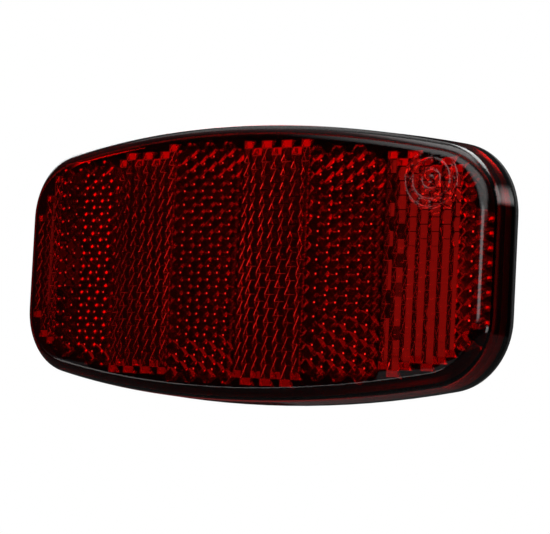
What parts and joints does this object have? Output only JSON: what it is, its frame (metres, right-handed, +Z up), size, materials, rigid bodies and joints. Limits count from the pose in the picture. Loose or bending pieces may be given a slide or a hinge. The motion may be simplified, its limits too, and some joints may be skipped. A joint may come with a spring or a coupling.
{
  "type": "rack reflector",
  "caption": "Red rear reflector for a bicycle rack: a bowed prism lens welded to a black back cover, fixed by threaded studs at its back.",
  "frame": {"origin": "midway between the two studs, on the faces of the pads that meet the rack plate", "axes": "the lens faces -Y, the studs leave along +Y, +Z is up, +X runs along the long side"},
  "size_m": [0.1, 0.0215, 0.0476],
  "materials": {
    "red_acrylic": "clear red acrylic, polished, with fine scratches",
    "black_plastic": "fine moulded grain",
    "zinc_steel": "bright zinc plating"
  },
  "bodies": {
    "root": {"lens": "red_acrylic", "back_cover": "black_plastic", "mounting_studs": "zinc_steel"}
  },
  "joints": []
}
